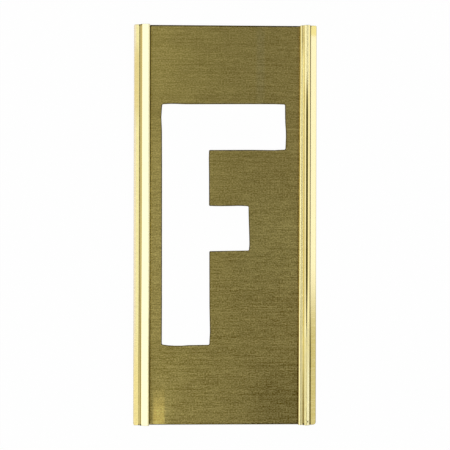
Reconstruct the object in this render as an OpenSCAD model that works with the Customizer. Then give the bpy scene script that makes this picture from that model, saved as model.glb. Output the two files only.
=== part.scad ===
// Interlocking lettering stencil, lying on its back: X across, Y up the letter, Z out of its front.
// The origin is on the rest plane, under the middle of the outline.
// A folded rail closes each long side: a tongue on the left, a pocket on the right. The tongue of
// one stencil slides into the pocket of the next, which sets them edge to edge in a row.

/* [Plate] */
// Height of the plate and of both rails
plate_h = 127; // [100:1:150]
// Width of plate that shows between the rails
panel_w = 47.45; // [44:0.05:56]
// Thickness of the brass sheet of all three pieces
sheet_t = 0.3; // [0.25:0.05:0.4]

/* [Letter] */
// Height of the letter opening
letter_h = 76.5; // [62:0.5:92]
// Width of the letter opening, to the end of its top arm
letter_w = 39.2; // [32:0.2:42]
// Shift of the letter to the right of the panel's middle
letter_shift = -0.25; // [-1:0.05:1]
// Width of the stem
stem_w = 15; // [10:0.2:18]
// Height of the top arm
top_arm_h = 14.6; // [10:0.2:18]
// Height of the middle arm
middle_arm_h = 14.2; // [10:0.2:18]
// Reach of the middle arm past the stem
middle_arm_reach = 12.6; // [8:0.2:16]
// Drop from the top of the letter to the top of the middle arm
middle_arm_drop = 32.3; // [24:0.2:36]
// Radius that the punch leaves in each corner of the letter
corner_r = 0.35; // [0.1:0.05:0.8]

/* [Rails] */
// Width of each rail's foot, soldered under the edge of the plate
lap_w = 3.6; // [2.5:0.1:5]
// Inside radius of the tight bends
bend_r = 0.2; // [0.15:0.05:0.3]
// Inside radius of the sharp bend between the tongue rail's wall and its cover strip
cover_bend_r = 0.05; // [0.05:0.05:0.3]
// Gap between the cut edge of the plate and the wall of the tongue rail
seam_gap = 0.15; // [0.1:0.05:0.4]
// Radius of the plain corners at the rail ends
end_r = 0.4; // [0.2:0.1:1]
// Radius of the lead-in corner, at the foot of the pocket rail
lead_in_r = 1; // [0.4:0.1:1.4]

/* [Pocket] */
// Width of the pocket rail, from its inner fold to its outer wall
pocket_w = 5.55; // [5.3:0.05:6]
// Width of the lip's flat, from the inner fold to the foot of the hood
lip_w = 1.35; // [1.2:0.05:1.6]
// Fall of the lip towards the foot of the hood, in degrees
lip_fall = 6; // [4:1:10]
// Width of the guide strip outside the hood
strip_w = 1.9; // [1.7:0.05:2]
// Height of the guide strip's crest above the fold under it
strip_rise = 0.65; // [0.5:0.05:0.8]
// Fall of the guide strip towards its outer edge, in degrees
strip_fall = 8; // [4:1:10]
// Slope of the hood's inner side, in degrees
hood_rise = 65; // [55:1:70]
// Fall of the hood towards its free edge, in degrees
hood_fall = 9; // [6:1:12]
// Inside radius of the hood's crown
hood_r = 0.8; // [0.5:0.05:0.9]

/* [Tongue] */
// Width of the tongue
tongue_w = 1.8; // [1.3:0.05:2]
// Fall of the tongue towards its tip, in degrees
tongue_fall = 6; // [3:1:7]
// Fall of the cover strip away from the plate, in degrees
cover_fall = 9; // [6:1:12]
// Slope of the leg between the cover strip and the tongue, in degrees
leg_slope = 45; // [40:1:50]
// Height of the cover strip's outer edge over the crest of the guide strip that it covers
cover_gap = 0.35; // [0.25:0.05:0.5]

/* [Sliding fit] */
// Clearance between a tongue and the pocket that it slides in
slide_gap = 0.1; // [0.08:0.01:0.14]
// Clearance between a pocket rail and the wall of the next stencil
side_gap = 0.25; // [0.15:0.05:0.4]

/* [Hidden] */
$fn = 48;
half_t = sheet_t / 2;
right_angle = 90;
bend_step = 7.5;
no_bend = 0;
cut_over = 1;

// Heights of the sheets' middle lines, from the rest plane up
foot_z = half_t;
plate_z = sheet_t;
clamp_z = foot_z + 2 * sheet_t;
lip_z = clamp_z + 2 * sheet_t + 2 * slide_gap;
tip_z = clamp_z + sheet_t + slide_gap;
crest_z = clamp_z + strip_rise;

// Pocket rail, measured outwards from its inner fold
fold_top_z = lip_z + (lip_w - half_t) * tan(lip_fall);
fold_r = (fold_top_z - clamp_z) / (1 + tan((right_angle + lip_fall) / 2)) - half_t;
wall_u = pocket_w - half_t;
crest_u = wall_u - strip_w;
strip_end_z = crest_z - strip_w * tan(strip_fall);
clamp_end_u = crest_u - strip_rise / tan(leg_slope);

// The leg of the next stencil's tongue lies along the pocket's slope, a sheet and a clearance away
leg_pitch = sheet_t + slide_gap;
leg_u = crest_u - leg_pitch * sin(leg_slope);
leg_z = crest_z + leg_pitch * cos(leg_slope);
function leg_u_at(z) = leg_u + (z - leg_z) / tan(leg_slope);
function leg_z_at(u) = leg_z + (u - leg_u) * tan(leg_slope);

// The hood ends over the crest, and clears the leg under it
hood_end_u = crest_u - half_t;
hood_end_z = leg_z_at(hood_end_u) + leg_pitch / cos(leg_slope);
hood_top_u = (hood_end_z - lip_z + lip_w * tan(hood_rise) + hood_end_u * tan(hood_fall))
    / (tan(hood_rise) + tan(hood_fall));
hood_top_z = lip_z + (hood_top_u - lip_w) * tan(hood_rise);

// Tongue rail, measured outwards from the plate's side of its wall
mate_u = pocket_w + side_gap + sheet_t;
cover_end_z = crest_z + sheet_t + cover_gap;
cover_end_u = mate_u - leg_u_at(cover_end_z);
cover_top_z = cover_end_z + (cover_end_u - half_t) * tan(cover_fall);
root_z = tip_z + tongue_w * sin(tongue_fall);
root_u = mate_u - leg_u_at(root_z);
tip_u = root_u + tongue_w * cos(tongue_fall);
tongue_out = tip_u + half_t * sin(tongue_fall);

// Each line below is the middle of a folded sheet: across, up, and the bend's inside radius
pocket_line = [
    [-lap_w, foot_z, no_bend],
    [wall_u, foot_z, bend_r],
    [wall_u, strip_end_z, bend_r],
    [crest_u, crest_z, bend_r],
    [clamp_end_u, clamp_z, bend_r],
    [half_t, clamp_z, fold_r],
    [half_t, fold_top_z, fold_r],
    [lip_w, lip_z, bend_r],
    [hood_top_u, hood_top_z, hood_r],
    [hood_end_u, hood_end_z, no_bend],
];
tongue_line = [
    [-lap_w, foot_z, no_bend],
    [half_t, foot_z, bend_r],
    [half_t, cover_top_z, cover_bend_r],
    [cover_end_u, cover_end_z, bend_r],
    [root_u, root_z, bend_r],
    [tip_u, tip_z, no_bend],
];

overall_w = tongue_out + panel_w + pocket_w;
tongue_wall_x = tongue_out - overall_w / 2;
pocket_fold_x = overall_w / 2 - pocket_w;
rail_top = max(cover_top_z, hood_top_z) + sheet_t;

letter_left = (tongue_wall_x + pocket_fold_x - letter_w) / 2 + letter_shift;
letter_top = letter_h / 2;
stem_right = letter_left + stem_w;
middle_right = stem_right + middle_arm_reach;
middle_top = letter_top - middle_arm_drop;

function place(line, i) = [line[i].x, line[i].y];
function heading(line, i) = let (step = place(line, i + 1) - place(line, i)) atan2(step.y, step.x);
function turn_left(line, i) = let (turn = heading(line, i) - heading(line, i - 1))
    turn > 180 ? turn - 360 : turn <= -180 ? turn + 360 : turn;
function toward(angle) = [cos(angle), sin(angle)];
function backwards(list) = [for (i = [len(list) - 1:-1:0]) list[i]];

// Points of one face of the sheet at one corner of its line: an arc about the bend's centre, or a
// single point where the sheet ends. The side is 1 for the face on the left of the line, -1 for the right
function bend_points(line, i, side) = let (
    turn = turn_left(line, i),
    inner = sign(turn),
    middle_r = line[i].z + half_t,
    before = heading(line, i - 1),
    first = before - inner * right_angle,
    centre = place(line, i) - middle_r * tan(abs(turn) / 2) * toward(before) - middle_r * toward(first),
    steps = ceil(abs(turn) / bend_step)
) [for (k = [0:steps]) centre + (middle_r - side * inner * half_t) * toward(first + turn * k / steps)];
function end_point(line, i, side) = let (along = heading(line, min(i, len(line) - 2)))
    place(line, i) + side * half_t * toward(along + right_angle);
function face_points(line, side) = [
    end_point(line, 0, side),
    for (i = [1:len(line) - 2]) each bend_points(line, i, side),
    end_point(line, len(line) - 1, side),
];

// Sheet folded along the corners of a line, as long as the plate is high
module folded_sheet(line) {
    translate([0, plate_h / 2, 0]) rotate([right_angle, 0, 0]) linear_extrude(plate_h)
        polygon(concat(face_points(line, 1), backwards(face_points(line, -1))));
}

// Waste outside a rounded corner in plan: the corner is at the origin, the metal towards +X and +Y
module corner_waste(r) {
    difference() {
        translate([-cut_over, -cut_over, -cut_over])
            cube([r + cut_over, r + cut_over, rail_top + 2 * cut_over]);
        translate([r, r, -2 * cut_over]) cylinder(r = r, h = rail_top + 4 * cut_over);
    }
}

// Flat shape between a sharp corner at the origin and its rounding, towards +X and +Y
module corner_web() {
    difference() {
        square(corner_r);
        translate([corner_r, corner_r]) circle(corner_r);
    }
}

module at_corner(x, y, along_x, along_y) {
    translate([x, y]) scale([along_x, along_y]) corner_web();
}

// Outline of the letter, with the punch's radius in every corner
module letter_outline() {
    difference() {
        union() {
            translate([letter_left, letter_top - letter_h]) square([stem_w, letter_h]);
            translate([letter_left, letter_top - top_arm_h]) square([letter_w, top_arm_h]);
            translate([letter_left, middle_top - middle_arm_h])
                square([stem_w + middle_arm_reach, middle_arm_h]);
        }
        at_corner(letter_left, letter_top, 1, -1);
        at_corner(letter_left + letter_w, letter_top, -1, -1);
        at_corner(letter_left + letter_w, letter_top - top_arm_h, -1, 1);
        at_corner(middle_right, middle_top, -1, -1);
        at_corner(middle_right, middle_top - middle_arm_h, -1, 1);
        at_corner(stem_right, letter_top - letter_h, -1, 1);
        at_corner(letter_left, letter_top - letter_h, 1, 1);
    }
    at_corner(stem_right, letter_top - top_arm_h, 1, -1);
    at_corner(stem_right, middle_top, 1, 1);
    at_corner(stem_right, middle_top - middle_arm_h, 1, -1);
}

// Flat plate with the letter cut through it; its right edge is clamped in the pocket rail's fold
module stencil_plate() {
    left = tongue_wall_x + seam_gap;
    right = pocket_fold_x + clamp_end_u - bend_r;
    color("darkgoldenrod")
        translate([0, 0, plate_z]) linear_extrude(sheet_t) difference() {
            translate([left, -plate_h / 2]) square([right - left, plate_h]);
            letter_outline();
        }
}

// Left rail: foot under the plate, wall, cover strip, leg and tongue
module tongue_rail() {
    color("palegoldenrod") difference() {
        translate([tongue_wall_x, 0, 0]) mirror([1, 0, 0]) folded_sheet(tongue_line);
        for (end = [-1, 1])
            translate([-overall_w / 2, end * plate_h / 2, 0]) mirror([0, max(end, 0), 0])
                corner_waste(end_r);
    }
}

// Right rail: foot under the plate, hollow guide strip, fold over the plate's edge, lip and hood
module pocket_rail() {
    color("palegoldenrod") difference() {
        translate([pocket_fold_x, 0, 0]) folded_sheet(pocket_line);
        translate([overall_w / 2, plate_h / 2, 0]) rotate(2 * right_angle) corner_waste(end_r);
        translate([overall_w / 2, -plate_h / 2, 0]) rotate(right_angle) corner_waste(lead_in_r);
    }
}

stencil_plate();
tongue_rail();
pocket_rail();
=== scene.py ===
import bpy
from math import atan2, ceil, cos, degrees, radians, sin, sqrt, tan
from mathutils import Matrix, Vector
from numpy import interp


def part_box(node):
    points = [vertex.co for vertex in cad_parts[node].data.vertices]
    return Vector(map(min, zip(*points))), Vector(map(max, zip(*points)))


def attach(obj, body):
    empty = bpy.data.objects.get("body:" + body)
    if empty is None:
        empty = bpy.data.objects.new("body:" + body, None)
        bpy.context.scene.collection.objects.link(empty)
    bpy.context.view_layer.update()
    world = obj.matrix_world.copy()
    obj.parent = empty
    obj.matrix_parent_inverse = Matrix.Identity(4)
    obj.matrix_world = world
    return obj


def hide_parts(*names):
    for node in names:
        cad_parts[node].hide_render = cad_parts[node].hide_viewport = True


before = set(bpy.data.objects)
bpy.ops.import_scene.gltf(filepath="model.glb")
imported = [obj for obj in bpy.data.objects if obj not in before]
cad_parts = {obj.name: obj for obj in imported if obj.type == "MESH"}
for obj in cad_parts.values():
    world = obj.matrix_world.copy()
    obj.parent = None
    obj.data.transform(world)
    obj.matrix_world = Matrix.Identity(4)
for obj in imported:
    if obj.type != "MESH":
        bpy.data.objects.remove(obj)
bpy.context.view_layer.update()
mm = 0.001      # sizes in the dictionaries are in millimetres, angles in degrees
tiny = 0.001 * mm      # two points closer than this are one
sheet = {      # shared by all three pieces
    "thick": 0.3, "height": 127,
    "edgeWear": 0.05, "edgeSteps": 2, "edgeAngle": 60, "smoothAngle": 40, "flatWeight": 90,
}
t = sheet["thick"]
print("frame loaded")


# Selecting and finishing

def deselectAll():
    if bpy.context.mode != "OBJECT":
        bpy.ops.object.mode_set(mode="OBJECT")
    bpy.ops.object.select_all(action="DESELECT")


def workOn(piece):
    deselectAll()
    piece.select_set(True)
    bpy.context.view_layer.objects.active = piece


def pick(piece, points=None, edges=None, faces=None):      # ends in edit mode, with only these selected
    workOn(piece)
    bpy.ops.object.mode_set(mode="EDIT")
    bpy.ops.mesh.select_mode(type="VERT" if points else "EDGE" if edges else "FACE")
    bpy.ops.mesh.select_all(action="DESELECT")
    bpy.ops.object.mode_set(mode="OBJECT")
    mesh = piece.data
    if points:
        for v in mesh.vertices:
            v.select = points(v.co)
    if edges:
        for e in mesh.edges:
            e.select = edges(*(mesh.vertices[i].co for i in e.vertices))
    if faces:
        for f in mesh.polygons:
            f.select = faces(f)
    bpy.ops.object.mode_set(mode="EDIT")


def newPiece(name):
    piece = bpy.context.object
    piece.name = piece.data.name = name
    return piece


def placeInMesh(piece):
    workOn(piece)
    bpy.ops.object.transform_apply(location=True, rotation=True, scale=True)


def applyModifiers(piece):
    workOn(piece)
    for modifier in list(piece.modifiers):
        bpy.ops.object.modifier_apply(modifier=modifier.name)


def faceOutwards(piece):
    workOn(piece)
    bpy.ops.object.mode_set(mode="EDIT")
    bpy.ops.mesh.select_all(action="SELECT")
    bpy.ops.mesh.remove_doubles(threshold=tiny)
    bpy.ops.mesh.normals_make_consistent(inside=False)
    bpy.ops.object.mode_set(mode="OBJECT")


def handOver(piece, node):       # the piece stands for the CAD node and rides on the one body
    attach(piece, "root")
    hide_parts(node)
    print(node, "done:", len(piece.data.polygons), "faces")


# Materials

def addNode(tree, kind, inputs=None, **settings):
    made = tree.nodes.new(kind)
    for key, value in settings.items():
        setattr(made, key, value)
    for key, value in (inputs or {}).items():
        if isinstance(value, bpy.types.NodeSocket):
            tree.links.new(value, made.inputs[key])
        else:
            made.inputs[key].default_value = value
    return made


def maths(tree, operation, a, b):
    return addNode(tree, "ShaderNodeMath", {0: a, 1: b}, operation=operation).outputs[0]


def blend(tree, share, a, b):
    return addNode(tree, "ShaderNodeMix", {0: share, 6: a, 7: b}, data_type="RGBA").outputs[2]


def fade(tree, value, start, end, low=0.0, high=1.0):       # runs from low at start to high at end
    return addNode(tree, "ShaderNodeMapRange", {0: value, 1: start, 2: end, 3: low, 4: high},
                   interpolation_type="SMOOTHSTEP").outputs[0]


def grain(tree, place, pattern):
    scale = [1 / (size * mm) for size in pattern["cell"]]
    mapping = addNode(tree, "ShaderNodeMapping", {"Vector": place, "Scale": scale})
    noise = {"Vector": mapping.outputs[0], "Scale": 1.0,
             "Detail": pattern["detail"], "Roughness": pattern["fine"]}
    return addNode(tree, "ShaderNodeTexNoise", noise).outputs[0]


def newMaterial(name, look):
    material = bpy.data.materials.new(name)
    material.use_nodes = True
    tree = material.node_tree
    shader = tree.nodes["Principled BSDF"]
    shader.inputs["Metallic"].default_value = 1.0
    shader.inputs["Anisotropic"].default_value = look["brushed"]
    place = addNode(tree, "ShaderNodeTexCoord").outputs["Object"]
    return material, tree, shader, place


# A cell's size is across, along and up. An edge is where a pattern starts to show, and where it shows in full
brushing = {
    "speck": {"cell": (0.5, 0.3, 0.3), "detail": 2, "fine": 0.5, "weight": 0.5},
    "shortStreak": {"cell": (2.2, 0.22, 1), "detail": 4, "fine": 0.6, "weight": 0.3},
    "longStreak": {"cell": (16, 0.4, 2), "detail": 3, "fine": 0.6, "weight": 0.2},
    "cloud": {"cell": (9, 6, 6), "detail": 3, "fine": 0.5},
    "cloudEdge": (0.42, 0.7), "lineEdge": (0.36, 0.64), "brokenEdge": (0.3, 0.6),
    "scratchEdge": (0.66, 0.76), "scratchBreaks": (0.5, 0.6),
    "footContrast": 1.15, "topContrast": 0.8,      # the lines are stronger towards the foot
    "tint": (0.55, 0.50, 0.23), "darkest": (0.03, 0.02, 0.005),
    "roughEdge": (0.35, 0.65), "roughSpread": 0.05, "bumpDepth": 0.02,
    "grainDirection": (0, 1, 0),     # reflections spread up the letter, across the brushing
}


def brushedBrass(name, look):
    material, tree, shader, place = newMaterial(name, look)
    b = brushing
    speck = grain(tree, place, b["speck"])
    shortStreak = grain(tree, place, b["shortStreak"])
    longStreak = grain(tree, place, b["longStreak"])
    cloud = grain(tree, place, b["cloud"])
    across, along = addNode(tree, "ShaderNodeSeparateXYZ", {0: place}).outputs[:2]

    leftToRight = fade(tree, across, *[x * mm for x in look["leftToRight"]])
    colour = blend(tree, leftToRight, look["left"], look["right"])
    clouding = maths(tree, "MULTIPLY", fade(tree, cloud, *b["cloudEdge"]), look["clouding"])
    colour = blend(tree, clouding, colour, look["tarnish"])
    mixed = maths(tree, "ADD", maths(tree, "MULTIPLY", speck, b["speck"]["weight"]),
                  maths(tree, "MULTIPLY", shortStreak, b["shortStreak"]["weight"]))
    mixed = maths(tree, "ADD", mixed, maths(tree, "MULTIPLY", longStreak, b["longStreak"]["weight"]))
    smoothest, roughest = look["rough"] - b["roughSpread"], look["rough"] + b["roughSpread"]
    rough = fade(tree, mixed, *b["roughEdge"], smoothest, roughest)
    for patch in look["patches"]:
        share = patchShare(tree, across, along, shortStreak, patch)
        colour = blend(tree, share, colour, patch["colour"])
        if "rough" in patch:
            rough = addNode(tree, "ShaderNodeMix", {0: share, 2: rough, 3: patch["rough"]}).outputs[0]

    half = sheet["height"] / 2 * mm
    contrast = fade(tree, along, -half, half, b["footContrast"], b["topContrast"])
    lines = fade(tree, mixed, *b["lineEdge"], -look["streaks"], look["streaks"])
    lines = maths(tree, "MULTIPLY", lines, contrast)
    lined = addNode(tree, "ShaderNodeVectorMath", {0: lines, 1: b["tint"], 2: colour},
                    operation="MULTIPLY_ADD").outputs[0]
    lined = addNode(tree, "ShaderNodeVectorMath", {0: lined, 1: b["darkest"]}, operation="MAXIMUM").outputs[0]
    scratch = maths(tree, "MULTIPLY", fade(tree, longStreak, *b["scratchEdge"]),
                    fade(tree, shortStreak, *b["scratchBreaks"]))
    lined = blend(tree, maths(tree, "MULTIPLY", scratch, look["scratches"]), lined, look["scratch"])
    tree.links.new(lined, shader.inputs["Base Color"])
    tree.links.new(rough, shader.inputs["Roughness"])
    bump = addNode(tree, "ShaderNodeBump",
                   {"Height": mixed, "Strength": look["bump"], "Distance": b["bumpDepth"] * mm})
    tree.links.new(bump.outputs[0], shader.inputs["Normal"])
    direction = addNode(tree, "ShaderNodeCombineXYZ", dict(enumerate(b["grainDirection"])))
    tree.links.new(direction.outputs[0], shader.inputs["Tangent"])
    return material


def patchShare(tree, across, along, noise, patch):      # a soft-edged rectangle, broken up by the brushing
    left, right, bottom, top = [value * mm for value in patch["box"]]
    soft = [value * mm for value in patch["soft"]]
    share = fade(tree, across, left - soft[0], left)
    share = maths(tree, "MULTIPLY", share, fade(tree, across, right + soft[1], right))
    share = maths(tree, "MULTIPLY", share, fade(tree, along, bottom - soft[2], bottom))
    share = maths(tree, "MULTIPLY", share, fade(tree, along, top + soft[3], top))
    broken = fade(tree, noise, *brushing["brokenEdge"], 1 - patch["broken"], 1.0)
    return maths(tree, "MULTIPLY", maths(tree, "MULTIPLY", share, broken), patch["strength"])


def cutBrass(name, look):
    material, tree, shader, place = newMaterial(name, look)
    speckle = grain(tree, place, look["speckle"])
    colour = blend(tree, fade(tree, speckle, *look["lightEdge"]), look["dark"], look["light"])
    tree.links.new(colour, shader.inputs["Base Color"])
    tree.links.new(fade(tree, speckle, *look["roughEdge"], *look["rough"]), shader.inputs["Roughness"])
    return material


# Small dark spots, mostly painted shade in the open ends of the seams and folds; one on the pocket rail is a
# real nick
darkSpot = {"colour": (0.03, 0.02, 0.01, 1), "halfWidth": 0.1, "halfHeight": 0.15,
        "soft": (0.12, 0.12, 0.25, 0.25), "strength": 0.95}


def shadeAndNickSpot(x, y):
    wide, high = darkSpot["halfWidth"], darkSpot["halfHeight"]
    return {"colour": darkSpot["colour"], "box": (x - wide, x + wide, y - high, y + high),
            "soft": darkSpot["soft"], "broken": 0, "strength": darkSpot["strength"]}


# A patch's box is its left, right, bottom and top, and its soft edges come in the same order.
# Broken is how far the brushing cuts the patch up

panelLook = {
    # The panel runs from paler on the left to darker on the right: painted light, the left side lit brighter
    "left": (0.60, 0.49, 0.145, 1), "right": (0.50, 0.40, 0.125, 1), "tarnish": (0.44, 0.34, 0.10, 1),
    "leftToRight": (-24, 20), "clouding": 0.3, "streaks": 0.36,
    "scratches": 0.6, "scratch": (0.80, 0.68, 0.28, 1),
    "rough": 0.42, "bump": 0.12, "brushed": 0.75,
    "patches": [
        {"colour": (0.66, 0.54, 0.165, 1), "box": (-24, -21, -30, 20), "soft": (1, 4, 20, 14),
         "broken": 0.2, "strength": 0.9},      # paler by the tongue rail
        {"colour": (0.36, 0.285, 0.085, 1), "box": (18, 24, -64, -58), "soft": (16, 1, 1, 22),
         "broken": 0.2, "strength": 0.75},      # duller by the lead-in
        {"colour": (0.55, 0.455, 0.145, 1), "box": (8, 24, -11, -2), "soft": (8, 1, 14, 20),
         "broken": 0.2, "strength": 0.9},      # paler by the middle arm
        {"colour": (0.49, 0.42, 0.17, 1), "box": (10.6, 11.8, 46, 60), "soft": (1.4, 1.2, 14, 5),
         "broken": 0.5, "strength": 0.5},      # faint grey smear
        {"colour": (0.72, 0.60, 0.19, 1), "box": (-21.5, -18.5, -64, -62), "soft": (1, 3.5, 1, 16),
         "broken": 0.2, "strength": 0.7},      # painted highlight: a golden glow by the foot
        # the glow's bright core, a painted highlight too, on rougher brass
        {"colour": (1, 0.785, 0.225, 1), "box": (-22.2, -19.6, -64, -61.5), "soft": (1.1, 0.9, 1, 12),
         "rough": 0.52, "broken": 0.15, "strength": 0.95},
        {"colour": (0.06, 0.04, 0.01, 1), "box": (-24, 24, 63.18, 64), "soft": (1, 1, 0.15, 1),
         "broken": 0.1, "strength": 0.97},      # painted dark reflection along the top cut edge
        {"colour": (0.06, 0.04, 0.01, 1), "box": (-6, 24, -64, -63.22), "soft": (4, 1, 1, 0.1),
         "broken": 0.8, "strength": 0.9},      # and part of the bottom
        {"colour": (0.36, 0.30, 0.085, 1), "box": (-24, -23.7, -46, 64), "soft": (0.1, 0.12, 14, 1),
         "broken": 0.2, "strength": 0.9},      # painted shade along the seams, where the rails' folds shade the panel
        {"colour": (0.46, 0.34, 0.10, 1), "box": (23.05, 23.8, -64, 64), "soft": (0.4, 0.1, 1, 1),
         "broken": 0.2, "strength": 0.8},
        # darkest towards the foot of the right seam, painted shade too
        {"colour": (0.17, 0.13, 0.03, 1), "box": (23.15, 23.8, -64, -50), "soft": (0.2, 0.1, 1, 22),
         "broken": 0.2, "strength": 0.9},
        # painted shade at the seams' ends
        shadeAndNickSpot(-23.7, 63.1), shadeAndNickSpot(23.1, -63.0),
    ],
}
railLook = {
    "left": (0.74, 0.65, 0.31, 1), "right": (0.73, 0.64, 0.31, 1), "tarnish": (0.62, 0.50, 0.19, 1),
    "leftToRight": (-30, 30), "clouding": 0.3, "streaks": 0.06,
    "scratches": 0.2, "scratch": (0.50, 0.40, 0.14, 1),
    "rough": 0.14, "bump": 0.05, "brushed": 0.6,
}
tongueMarksAndShading = [
    {"colour": (0.90, 0.81, 0.38, 1), "box": (-28.2, -27.3, -64, 64), "soft": (0.3, 0.05, 1, 1),
     "broken": 0.1, "strength": 0.95},      # painted highlight on the tongue
    {"colour": (0.87, 0.75, 0.51, 1), "box": (-29.1, -28.5, -64, 64), "soft": (0.1, 0.25, 1, 1),
     "broken": 0.1, "strength": 0.95},      # painted highlight on the tip
    {"colour": (0.78, 0.745, 0.50, 1), "box": (-26.5, -24.4, -64, 64), "soft": (0.2, 0.1, 1, 1),
     "broken": 0.1, "strength": 0.9},      # painted highlight on the cover strip
    {"colour": (0.95, 0.90, 0.60, 1), "box": (-24.35, -23.9, -64, 64), "soft": (0.1, 0.1, 1, 1),
     "rough": 0.4, "broken": 0.1, "strength": 0.95},      # worn bend: rougher, and paler as a painted highlight
    {"colour": (0.53, 0.41, 0.13, 1), "box": (-27.1, -26.5, -64, 64), "soft": (0.05, 0.1, 1, 1),
     "broken": 0.2, "strength": 0.9},      # dull leg
    {"colour": (0.40, 0.31, 0.09, 1), "box": (-26.6, -26.38, 4, 64), "soft": (0.1, 0.08, 40, 1),
     "broken": 0.3, "strength": 0.8},
    {"colour": (0.74, 0.60, 0.23, 1), "box": (-28.7, -27.5, 40, 52), "soft": (0.2, 0.1, 10, 8),
     "broken": 0.3, "strength": 0.8},      # duller stretch
    {"colour": (0.86, 0.71, 0.27, 1), "box": (-29.1, -27.5, -64, -52), "soft": (0.1, 0.1, 1, 26),
     "broken": 0.2, "strength": 0.8},      # golden foot
    {"colour": (0.13, 0.10, 0.02, 1), "box": (-27.36, -27.12, -20, 64), "soft": (0.06, 0.08, 40, 1),
     "broken": 0.3, "strength": 0.95},      # painted shade in the fold's valley
    {"colour": (0.27, 0.21, 0.045, 1), "box": (-27.42, -27.28, -64, -44), "soft": (0.08, 0.08, 1, 30),
     "broken": 0.3, "strength": 0.95},      # and at its foot
    # painted shadow under the cover's edge, towards the foot
    {"colour": (0.24, 0.18, 0.04, 1), "box": (-26.82, -26.62, -64, -44), "soft": (0.08, 0.08, 1, 40),
     "broken": 0.3, "strength": 0.9},
    {"colour": (0.45, 0.39, 0.15, 1), "box": (-24.08, -23.8, 44, 64), "soft": (0.14, 0.1, 40, 1),
     "broken": 0.3, "strength": 0.7},      # the end of the bend darker: painted shade at the seam
    # and at the foot: painted shade at the seam
    {"colour": (0.36, 0.31, 0.11, 1), "box": (-24.18, -23.8, -64, -46), "soft": (0.15, 0.1, 1, 40),
     "broken": 0.3, "strength": 0.8},
    # painted shade at the ends of the fold's valley and under the cover's edge
    shadeAndNickSpot(-27.3, 63.3), shadeAndNickSpot(-26.75, 63.3), shadeAndNickSpot(-27.25, -63.3), shadeAndNickSpot(-26.6, -63.3),
]
pocketMarksAndShading = [
    {"colour": (0.95, 0.85, 0.42, 1), "box": (23.3, 24.75, -64, 64), "soft": (0.1, 0.2, 1, 1),
     "rough": 0.42, "broken": 0.1, "strength": 0.95},      # worn fold: rougher, and paler as a painted highlight
    {"colour": (0.72, 0.65, 0.385, 1), "box": (27.1, 29, -64, 60), "soft": (0.1, 0.1, 1, 2),
     "broken": 0.1, "strength": 0.9},      # painted highlight on the guide strip
    {"colour": (0.63, 0.54, 0.20, 1), "box": (27.1, 29.1, 61, 64), "soft": (0.1, 0.1, 1.5, 1),
     "broken": 0.1, "strength": 0.9},      # golden top end
    {"colour": (0.39, 0.32, 0.09, 1), "box": (27, 29.1, -64, -38), "soft": (0.1, 1, 1, 28),
     "broken": 0.3, "strength": 0.9},      # duller towards the foot
    {"colour": (0.93, 0.85, 0.45, 1), "box": (25, 26.55, -64, -40), "soft": (0.1, 0.1, 1, 14),
     "rough": 0.7, "broken": 0.1, "strength": 0.95},      # worn crown at the foot: rougher, and paler as a painted highlight
    {"colour": (0.96, 0.88, 0.50, 1), "box": (24.95, 26.36, 50, 64), "soft": (0.1, 0.06, 10, 1),
     "rough": 0.62, "broken": 0.1, "strength": 0.9},      # worn crown at the top: rougher, and paler as a painted highlight
    {"colour": (0.12, 0.095, 0.012, 1), "box": (25.57, 26.15, -14, 35), "soft": (0.12, 0.12, 20, 14),
     "broken": 0.1, "strength": 0.97},      # painted dark reflection along the middle of the crown
    {"colour": (0.22, 0.16, 0.04, 1), "box": (24.88, 25.12, -64, -62), "soft": (0.6, 0.1, 1, 30),
     "broken": 0.3, "strength": 0.95},      # painted shade in the valley beside the lip, darkest at the foot
    # fainter painted shade up the valley's middle
    {"colour": (0.60, 0.50, 0.20, 1), "box": (24.75, 24.97, -30, 24), "soft": (0.15, 0.12, 20, 36),
     "broken": 0.3, "strength": 0.8},
    {"colour": (0.46, 0.36, 0.12, 1), "box": (24.3, 24.65, 59, 64), "soft": (0.15, 0.12, 8, 1),
     "broken": 0.3, "strength": 0.8},
    {"colour": (1, 0.95, 0.62, 1), "box": (26.2, 26.55, -64, -50), "soft": (0.1, 0.1, 1, 14),
     "rough": 0.5, "broken": 0.1, "strength": 0.95},      # worn hood: rougher, and paler as a painted highlight
    {"colour": (0.58, 0.50, 0.22, 1), "box": (26.6, 26.95, -64, 64), "soft": (0.1, 0.05, 1, 1),
     "broken": 0.3, "strength": 0.8},      # painted shade in the groove at the hood's edge
    {"colour": (0.13, 0.10, 0.02, 1), "box": (26.84, 27.34, -64, -44), "soft": (0.1, 0.08, 1, 24),
     "broken": 0.2, "strength": 0.95},      # painted shade in the groove, darkest at the foot
    {"colour": (0.30, 0.22, 0.06, 1), "box": (23.3, 23.5, -64, 64), "soft": (0.1, 0.08, 1, 1),
     "broken": 0.3, "strength": 0.8},      # painted shade under the fold
    # painted shade at the ends of the lip's valley and the groove; the spot at 26.3 across is a real nick
    shadeAndNickSpot(25.0, -63.1), shadeAndNickSpot(27.1, -63.1), shadeAndNickSpot(26.3, -62.3), shadeAndNickSpot(27.1, 63.3),
]
# The cut edges are near-black: painted dark reflection and shade along every cut and its worn round
edgeLook = {
    "dark": (0.04, 0.03, 0.008, 1), "light": (0.16, 0.12, 0.035, 1), "lightEdge": (0.4, 0.65),
    "speckle": {"cell": (0.5, 0.5, 0.1), "detail": 3, "fine": 0.55},
    "rough": (0.35, 0.6), "roughEdge": (0.3, 0.7), "brushed": 0,
}

panelBrass = brushedBrass("panelBrass", panelLook)
tongueBrass = brushedBrass("tongueBrass", dict(railLook, patches=tongueMarksAndShading))
pocketBrass = brushedBrass("pocketBrass", dict(railLook, patches=pocketMarksAndShading))
cutEdge = cutBrass("cutEdge", edgeLook)


# The plate, and the letter cut through it

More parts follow.
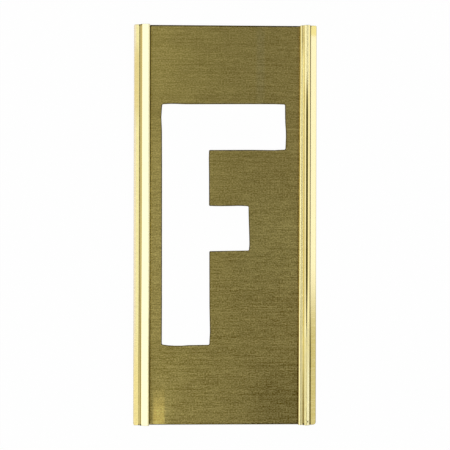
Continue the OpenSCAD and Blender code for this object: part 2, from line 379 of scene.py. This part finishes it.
plateShape = {
    "left": -23.833, "right": 26.117, "underside": 0.3, "rollWidth": 0.25, "rollDrop": 0.03,
    "level": 0.5,      # a face is level where its normal is more upright than this
}
letterShape = {
    "left": -20.108, "stemRight": -5.108, "middleRight": 7.492, "armRight": 19.092,
    "top": 38.25, "armBottom": 23.65, "middleTop": 5.95, "middleBottom": -8.25, "bottom": -38.25,
    "corners": [("left", "bottom"), ("left", "top"), ("armRight", "top"), ("armRight", "armBottom"),
                ("stemRight", "armBottom"), ("stemRight", "middleTop"), ("middleRight", "middleTop"),
                ("middleRight", "middleBottom"), ("stemRight", "middleBottom"), ("stemRight", "bottom")],
    "cornerRadius": 0.35, "cornerSteps": 5, "sideCuts": 6,
    "onLine": 0.01,      # a point this near a line is on it
}
# The hand-finished outline strays a little from its lines: where along the side, and how far right or up
strays = [
    {"x": "left", "from": "bottom", "to": "top",
     "shift": [(-38, 0.05), (-25, 0.08), (20, 0), (30, -0.05), (34.4, -0.27), (38, 0.02)]},
    {"x": "stemRight", "from": "bottom", "to": "middleBottom",
     "shift": [(-37, 0.12), (-34, 0.32), (-26, 0.15), (-9, 0.07)]},
    {"x": "stemRight", "from": "middleTop", "to": "armBottom",
     "shift": [(8, -0.05), (16, -0.08), (21, -0.16), (23, -0.09)]},
    {"x": "middleRight", "from": "middleBottom", "to": "middleTop",
     "shift": [(-7.5, 0.08), (-6, 0.25), (0, 0.06), (5, -0.08)]},
    {"x": "armRight", "from": "armBottom", "to": "top",
     "shift": [(24.5, 0.05), (27.5, 0.21), (30, 0.18), (33, -0.05), (38, -0.1)]},
    {"y": "top", "from": "left", "to": "armRight",
     "shift": [(-20, 0.05), (-17, 0.26), (-13, 0.1), (-4, 0.17), (8, 0.25), (16, 0.28), (18.5, 0.18)]},
    {"y": "armBottom", "from": "stemRight", "to": "armRight",
     "shift": [(-5, 0.2), (8, 0.3), (16, 0.24), (18.5, 0.42)]},
    {"y": "middleTop", "from": "stemRight", "to": "middleRight",
     "shift": [(-5, 0.12), (-2.5, 0.01), (2, 0.08), (5, 0.18), (7, 0.03)]},
    {"y": "middleBottom", "from": "stemRight", "to": "middleRight",
     "shift": [(-5, -0.08), (1, 0.04), (7, 0.14)]},
    {"y": "bottom", "from": "left", "to": "stemRight",
     "shift": [(-20, 0.25), (-18.3, 0), (-17, -0.16), (-13.5, -0.14), (-12, 0.01), (-5, 0.12)]},
]


def inLetter(x, y):
    s = letterShape
    stem = x < s["stemRight"]
    topArm = y > s["armBottom"]
    middleArm = x < s["middleRight"] and s["middleBottom"] < y < s["middleTop"]
    return s["left"] < x < s["armRight"] and s["bottom"] < y < s["top"] and (stem or topArm or middleArm)


def strayed(co):
    s = letterShape
    here = {"x": co.x / mm, "y": co.y / mm}
    moved = dict(here)
    for stray in strays:
        across, along = ("x", "y") if "x" in stray else ("y", "x")
        start, end = s[stray["from"]] - s["onLine"], s[stray["to"]] + s["onLine"]
        if abs(here[across] - s[stray[across]]) < s["onLine"] and start < here[along] < end:
            moved[across] += interp(here[along], *zip(*stray["shift"]))
    return Vector((moved["x"] * mm, moved["y"] * mm, co.z))


def makePlate():
    s, cut = plateShape, letterShape
    deselectAll()
    middle = (s["left"] + s["right"]) / 2 * mm
    bpy.ops.mesh.primitive_plane_add(size=mm, location=(middle, 0, s["underside"] * mm))
    plate = newPiece("stencilPlate")
    plate.scale = (s["right"] - s["left"], sheet["height"], 1)
    placeInMesh(plate)
    upright = ("left", "stemRight", "middleRight", "armRight")
    level = ("top", "armBottom", "middleTop", "middleBottom", "bottom")
    lines = [((cut[key] * mm, 0, 0), (1, 0, 0)) for key in upright]
    lines += [((0, cut[key] * mm, 0), (0, 1, 0)) for key in level]
    for place, normal in lines:
        pick(plate, faces=lambda f: True)
        bpy.ops.mesh.bisect(plane_co=place, plane_no=normal)
    bpy.ops.mesh.select_all(action="SELECT")
    bpy.ops.mesh.subdivide(number_cuts=cut["sideCuts"])
    pick(plate, faces=lambda f: inLetter(f.center.x / mm, f.center.y / mm))
    bpy.ops.mesh.delete(type="FACE")
    bpy.ops.object.mode_set(mode="OBJECT")
    for v in plate.data.vertices:
        v.co = strayed(v.co)
    pick(plate, faces=lambda f: True)
    bpy.ops.mesh.extrude_region_move(TRANSFORM_OT_translate={"value": (0, 0, t * mm)})
    faceOutwards(plate)
    roundCorners(plate)
    rollEdges(plate)
    finishEdges(plate)
    return plate


def roundCorners(plate):
    s = letterShape
    corners = [strayed(Vector((s[across] * mm, s[up] * mm, 0))).xy for across, up in s["corners"]]

    def atCorner(a, b):
        return (a - b).xy.length < tiny and min((a.xy - c).length for c in corners) < s["onLine"] * mm

    pick(plate, edges=atCorner)
    bpy.ops.mesh.bevel(offset=s["cornerRadius"] * mm, segments=s["cornerSteps"], affect="EDGES")


def facesUp(face):
    return face.normal.z > plateShape["level"]


def rollEdges(plate):       # the punch and the shear draw the front down a little along every cut
    plate.data.materials.append(panelBrass)
    plate.data.materials.append(cutEdge)
    s = plateShape
    for face in plate.data.polygons:
        face.material_index = 0 if abs(face.normal.z) > s["level"] else 1
    pick(plate, faces=facesUp)
    bpy.ops.mesh.inset(thickness=s["rollWidth"] * mm, depth=0, use_boundary=True, use_even_offset=True)
    bpy.ops.mesh.select_all(action="INVERT")
    bpy.ops.object.mode_set(mode="OBJECT")
    top = (s["underside"] + t) * mm
    inner = {i for f in plate.data.polygons if facesUp(f) and not f.select for i in f.vertices}
    left, right = (s["left"] + t) * mm, (s["right"] - t) * mm      # the seams keep the panel's brass
    for face in plate.data.polygons:
        if face.select and facesUp(face) and left < face.center.x < right:
            face.material_index = 1
    for v in plate.data.vertices:
        if v.index not in inner and abs(v.co.z - top) < tiny:
            v.co.z -= s["rollDrop"] * mm


def finishEdges(piece):       # the shear leaves a small round on every cut edge
    workOn(piece)
    wear = piece.modifiers.new("edgeWear", "BEVEL")
    wear.width = sheet["edgeWear"] * mm
    wear.segments = sheet["edgeSteps"]
    wear.limit_method = "ANGLE"
    wear.angle_limit = radians(sheet["edgeAngle"])
    wear.material = 1      # the cut edge's dark brass, a painted dark reflection
    even = piece.modifiers.new("evenShading", "WEIGHTED_NORMAL")
    even.keep_sharp = True
    even.weight = sheet["flatWeight"]
    bpy.ops.object.shade_smooth_by_angle(angle=radians(sheet["smoothAngle"]))
    applyModifiers(piece)


# The folded rails. Both follow the middle of the sheet: a list of corners, each across, up and inside radius

rails = {
    "foot": 3.6, "bend": 0.2, "coverBend": 0.05, "slideGap": 0.1, "sideGap": 0.25, "legSlope": 45,
    "wallLeft": -23.983, "foldRight": 23.467, "rows": 64, "bendStep": 7.5, "flatStep": 0.3,
}
pocketShape = {
    "width": 5.55, "lip": 1.35, "strip": 1.9, "stripRise": 0.65, "stripFall": 8,
    "lipFall": 6, "hoodRise": 65, "hoodFall": 9, "hoodBend": 0.8, "topCorner": 0.4, "bottomCorner": 1,
    "foldStray": (-0.17, 0.31), "strayWidth": 1.2,
}
tongueShape = {"width": 1.8, "fall": 6, "coverFall": 9, "coverGap": 0.35, "corner": 0.4}

footUp, clampUp = t / 2, 2.5 * t      # the middle of the sheet under the plate, and over it
lipUp = clampUp + 2 * t + 2 * rails["slideGap"]
tipUp = clampUp + t + rails["slideGap"]
crestUp = clampUp + pocketShape["stripRise"]
crestOut = pocketShape["width"] - t / 2 - pocketShape["strip"]
legSlope = radians(rails["legSlope"])
legPitch = t + rails["slideGap"]       # the next stencil's leg lies this far over the pocket's slope
legOut, legUp = crestOut - legPitch * sin(legSlope), crestUp + legPitch * cos(legSlope)


def legOutAt(up):
    return legOut + (up - legUp) / tan(legSlope)


def pocketCorners():
    s, bend = pocketShape, rails["bend"]
    foldTop = lipUp + (s["lip"] - t / 2) * tan(radians(s["lipFall"]))
    fold = (foldTop - clampUp) / (1 + tan(radians(90 + s["lipFall"]) / 2)) - t / 2
    wall = s["width"] - t / 2
    stripEnd = crestUp - s["strip"] * tan(radians(s["stripFall"]))
    clampOut = crestOut - s["stripRise"] / tan(legSlope)
    rise, fall = tan(radians(s["hoodRise"])), tan(radians(s["hoodFall"]))
    hoodOut = crestOut - t / 2
    hoodUp = legUp + (hoodOut - legOut) * tan(legSlope) + legPitch / cos(legSlope)
    crownOut = (hoodUp - lipUp + s["lip"] * rise + hoodOut * fall) / (rise + fall)
    crownUp = lipUp + (crownOut - s["lip"]) * rise
    return [
        (-rails["foot"], footUp, 0), (wall, footUp, bend), (wall, stripEnd, bend), (crestOut, crestUp, bend),
        (clampOut, clampUp, bend), (t / 2, clampUp, fold), (t / 2, foldTop, fold), (s["lip"], lipUp, bend),
        (crownOut, crownUp, s["hoodBend"]), (hoodOut, hoodUp, 0),
    ]


def tongueCorners():
    s, bend = tongueShape, rails["bend"]
    mate = pocketShape["width"] + rails["sideGap"] + t
    coverEndUp = crestUp + t + s["coverGap"]
    coverEnd = mate - legOutAt(coverEndUp)
    coverUp = coverEndUp + (coverEnd - t / 2) * tan(radians(s["coverFall"]))
    rootUp = tipUp + s["width"] * sin(radians(s["fall"]))
    root = mate - legOutAt(rootUp)
    tip = root + s["width"] * cos(radians(s["fall"]))
    return [
        (-rails["foot"], footUp, 0), (t / 2, footUp, bend), (t / 2, coverUp, rails["coverBend"]),
        (coverEnd, coverEndUp, bend), (root, rootUp, bend), (tip, tipUp, 0),
    ]


def bendPoints(before, corner, after):        # the arc that a bend leaves along the middle of the sheet
    here = Vector(corner[:2])
    back, on = (here - Vector(before[:2])).normalized(), (Vector(after[:2]) - here).normalized()
    turn = atan2(back.x * on.y - back.y * on.x, back.dot(on))
    radius = corner[2] + t / 2
    setBack = radius * tan(abs(turn) / 2)
    side = 1 if turn > 0 else -1
    centre = here - setBack * back + side * radius * Vector((-back.y, back.x))
    arm = here - setBack * back - centre
    steps = ceil(degrees(abs(turn)) / rails["bendStep"])
    points = []
    for k in range(steps + 1):
        a = turn * k / steps
        points.append(centre + Vector((arm.x * cos(a) - arm.y * sin(a), arm.x * sin(a) + arm.y * cos(a))))
    return points


def sheetPath(corners):
    path = [Vector(corners[0][:2])]
    for i in range(1, len(corners)):
        stops = bendPoints(*corners[i - 1:i + 2]) if i < len(corners) - 1 else [Vector(corners[-1][:2])]
        flat = stops[0] - path[-1]
        pieces = max(1, round(flat.length / rails["flatStep"]))
        start = path[-1]
        if flat.length > tiny / mm:
            path += [start + flat * k / pieces for k in range(1, pieces + 1)]
        path += stops[1:]
    return path


def foldSheet(name, corners, foldLine, hand, brass):       # hand 1 folds out to the right, -1 to the left
    path = [Vector((foldLine + hand * p.x, p.y)) for p in sheetPath(corners)]
    first, second = path[:2]
    middle = ((first.x + second.x) / 2 * mm, 0, first.y * mm)
    deselectAll()
    bpy.ops.mesh.primitive_grid_add(x_subdivisions=1, y_subdivisions=rails["rows"], size=mm, location=middle)
    rail = newPiece(name)
    rail.scale = (abs(second.x - first.x), sheet["height"], 1)
    placeInMesh(rail)
    pick(rail, points=lambda co: abs(co.x - second.x * mm) < tiny)
    bpy.ops.mesh.select_mode(type="EDGE")
    for here, there in zip(path[1:], path[2:]):
        step = (there - here) * mm
        bpy.ops.mesh.extrude_region_move(TRANSFORM_OT_translate={"value": (step.x, 0, step.y)})
    faceOutwards(rail)
    wall = rail.modifiers.new("sheet", "SOLIDIFY")
    wall.thickness = t * mm
    wall.offset = 0
    wall.use_even_offset = wall.use_quality_normals = True
    wall.material_offset_rim = 1      # the cut edge's dark brass, a painted dark reflection
    rail.data.materials.append(brass)
    rail.data.materials.append(cutEdge)
    applyModifiers(rail)
    return rail


def roundEnd(rail, outerEdge, hand, end, radius):      # a corner as seen from above, through all layers
    for v in rail.data.vertices:
        if abs(v.co.y - end * sheet["height"] / 2 * mm) < tiny:
            inset = max(0, radius - hand * (outerEdge - v.co.x / mm))
            v.co.y -= end * (radius - sqrt(max(0, radius ** 2 - inset ** 2))) * mm


def foldAside(rail):      # the fold over the plate runs a little out of line, from its foot to its top
    half, start = sheet["height"] / 2, rails["foldRight"]
    for v in rail.data.vertices:
        if v.co.z > (clampUp - t) * mm:
            near = interp(v.co.x / mm, (start, start + pocketShape["strayWidth"]), (1, 0))
            v.co.x += near * interp(v.co.y / mm, (-half, half), pocketShape["foldStray"]) * mm


def makeTongueRail():
    rail = foldSheet("tongueRail", tongueCorners(), rails["wallLeft"], -1, tongueBrass)
    for end in (1, -1):
        roundEnd(rail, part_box("tongue_rail")[0].x / mm, -1, end, tongueShape["corner"])
    finishEdges(rail)
    return rail


def makePocketRail():
    rail = foldSheet("pocketRail", pocketCorners(), rails["foldRight"], 1, pocketBrass)
    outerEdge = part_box("pocket_rail")[1].x / mm
    roundEnd(rail, outerEdge, 1, 1, pocketShape["topCorner"])
    roundEnd(rail, outerEdge, 1, -1, pocketShape["bottomCorner"])
    foldAside(rail)
    finishEdges(rail)
    return rail


handOver(makePlate(), "stencil_plate")
handOver(makeTongueRail(), "tongue_rail")
handOver(makePocketRail(), "pocket_rail")


# The studio: a pale floor, two soft boxes and a dimmer panel over the stencil

studio = {      # its lengths are in metres, apart from floorUnder
    "floorSize": 6, "floorColour": (0.86, 0.86, 0.86, 1), "floorWhite": 0.97, "floorUnder": 0.05,
    "daylight": 0.8,
    "lampHeight": 0.5, "lampStart": 0.18, "lampWidth": 0.8, "lampLength": 1.6,
    "leftWatts": 2, "rightWatts": 2,
    "cardLeft": -0.11, "cardRight": 0.2, "cardLength": 2.4, "cardLight": 0.2,
}


def seenDirectly(tree):       # 1 for camera, glossy and transmission rays
    path = addNode(tree, "ShaderNodeLightPath").outputs
    seen = maths(tree, "MAXIMUM", path["Is Camera Ray"], path["Is Glossy Ray"])
    return maths(tree, "MAXIMUM", seen, path["Is Transmission Ray"])


def bareMaterial(piece, name):
    material = bpy.data.materials.new(name)
    material.use_nodes = True
    tree = material.node_tree
    tree.nodes.remove(tree.nodes["Principled BSDF"])
    piece.data.materials.append(material)
    return tree


def makeFloor():
    deselectAll()
    bpy.ops.mesh.primitive_plane_add(size=studio["floorSize"], location=(0, 0, -studio["floorUnder"] * mm))
    floor = newPiece("floor")
    tree = bareMaterial(floor, "paleFloor")
    matt = addNode(tree, "ShaderNodeBsdfDiffuse", {"Color": studio["floorColour"]})
    white = addNode(tree, "ShaderNodeEmission", {"Strength": 1.0})
    share = maths(tree, "MULTIPLY", seenDirectly(tree), studio["floorWhite"])
    both = addNode(tree, "ShaderNodeMixShader", {0: share, 1: matt.outputs[0], 2: white.outputs[0]})
    tree.links.new(both.outputs[0], tree.nodes["Material Output"].inputs["Surface"])


def makeCard():
    middle = (studio["cardLeft"] + studio["cardRight"]) / 2
    deselectAll()
    bpy.ops.mesh.primitive_plane_add(size=1, location=(middle, 0, studio["lampHeight"]))
    card = newPiece("dimCard")
    card.scale = (studio["cardRight"] - studio["cardLeft"], studio["cardLength"], 1)
    placeInMesh(card)
    card.visible_camera = False
    tree = bareMaterial(card, "dimCard")
    glow = addNode(tree, "ShaderNodeEmission", {"Strength": studio["cardLight"]})
    tree.links.new(glow.outputs[0], tree.nodes["Material Output"].inputs["Surface"])


def makeSoftBox(name, side, watts):
    deselectAll()
    middle = side * (studio["lampStart"] + studio["lampWidth"] / 2)
    bpy.ops.object.light_add(type="AREA", location=(middle, 0, studio["lampHeight"]))
    lamp = bpy.context.object
    lamp.name = name
    lamp.data.shape = "RECTANGLE"
    lamp.data.size, lamp.data.size_y = studio["lampWidth"], studio["lampLength"]
    lamp.data.energy = watts


def makeDaylight():
    world = bpy.data.worlds.new("daylight")
    bpy.context.scene.world = world
    world.use_nodes = True
    tree = world.node_tree
    strength = fade(tree, seenDirectly(tree), 0, 1, studio["daylight"], 1.0)
    tree.links.new(strength, tree.nodes["Background"].inputs["Strength"])
    tree.nodes["Background"].inputs["Color"].default_value = (1, 1, 1, 1)


makeFloor()
makeCard()
makeSoftBox("leftSoftBox", -1, studio["leftWatts"])
makeSoftBox("rightSoftBox", 1, studio["rightWatts"])
makeDaylight()
print("studio done")


# The camera looks down on the plate, a little from the tongue side

photo = {
    "distance": 350, "turn": -1.7, "roll": 0.13, "lens": 88, "aim": (-0.06, -0.03, 0.6),
    "clip": (0.01, 20),      # metres
}

turn = radians(photo["turn"])
aim = Vector(photo["aim"]) * mm
bpy.ops.object.camera_add(location=aim + photo["distance"] * mm * Vector((sin(turn), 0, cos(turn))),
                          rotation=(0, turn, radians(photo["roll"])))
camera = bpy.context.object
camera.data.lens = photo["lens"]
camera.data.clip_start, camera.data.clip_end = photo["clip"]
bpy.context.scene.camera = camera
bpy.context.scene.view_settings.view_transform = "Standard"
print("camera done")
